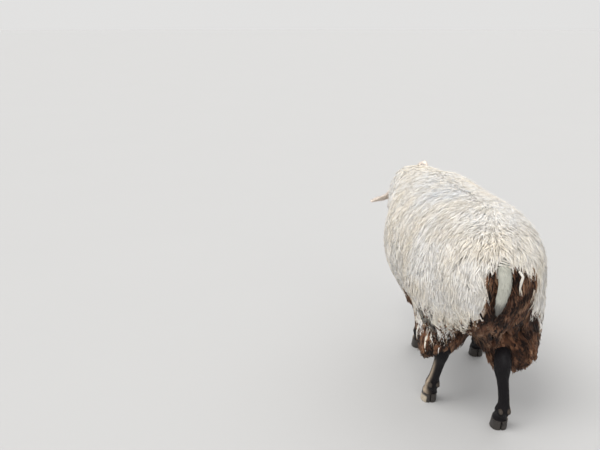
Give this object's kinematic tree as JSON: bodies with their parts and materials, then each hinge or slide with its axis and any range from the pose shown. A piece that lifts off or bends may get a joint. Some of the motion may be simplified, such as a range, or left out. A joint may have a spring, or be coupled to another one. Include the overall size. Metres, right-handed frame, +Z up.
{
  "type": "shetland sheep",
  "caption": "Life-size standing Shetland sheep in full wavy fleece with head lowered, dark slim legs, cloven hooves and a short hanging tail.",
  "frame": {"origin": "middle of the sheep's outline seen from above, on the plane that its hooves stand on", "axes": "+X forward to the head, +Y to the sheep's left, +Z up"},
  "size_m": [1.0303, 0.38, 0.6004],
  "materials": {
    "fleece": "ivory wool in fine wavy staples, matt",
    "britch_wool": "ivory wool turning rust brown low down, matt",
    "face": "short grey-fawn hair, dark at the muzzle, matt",
    "ear_hair": "short hair, dark inside with a pale rim",
    "leg_hair": "short dark brown-black hair with a tan stripe, low sheen",
    "eye": "wet amber eye with a level dark pupil",
    "hoof_horn": "dark grey-brown horn, pale at the toe, low sheen"
  },
  "bodies": {
    "root": {"torso": "fleece", "neck": "fleece", "tail": "fleece", "head": "face", "ear_left": "ear_hair", "eye_left": "eye", "ear_right": "ear_hair", "eye_right": "eye", "hind_left_thigh": "britch_wool", "hind_left_shank": "leg_hair", "hind_left_claw_outer": "hoof_horn", "hind_left_claw_inner": "hoof_horn", "hind_right_thigh": "britch_wool", "hind_right_shank": "leg_hair", "hind_right_claw_outer": "hoof_horn", "hind_right_claw_inner": "hoof_horn", "fore_left_forearm": "fleece", "fore_left_shank": "leg_hair", "fore_left_claw_outer": "hoof_horn", "fore_left_claw_inner": "hoof_horn", "fore_right_forearm": "fleece", "fore_right_shank": "leg_hair", "fore_right_claw_outer": "hoof_horn", "fore_right_claw_inner": "hoof_horn"}
  },
  "joints": []
}
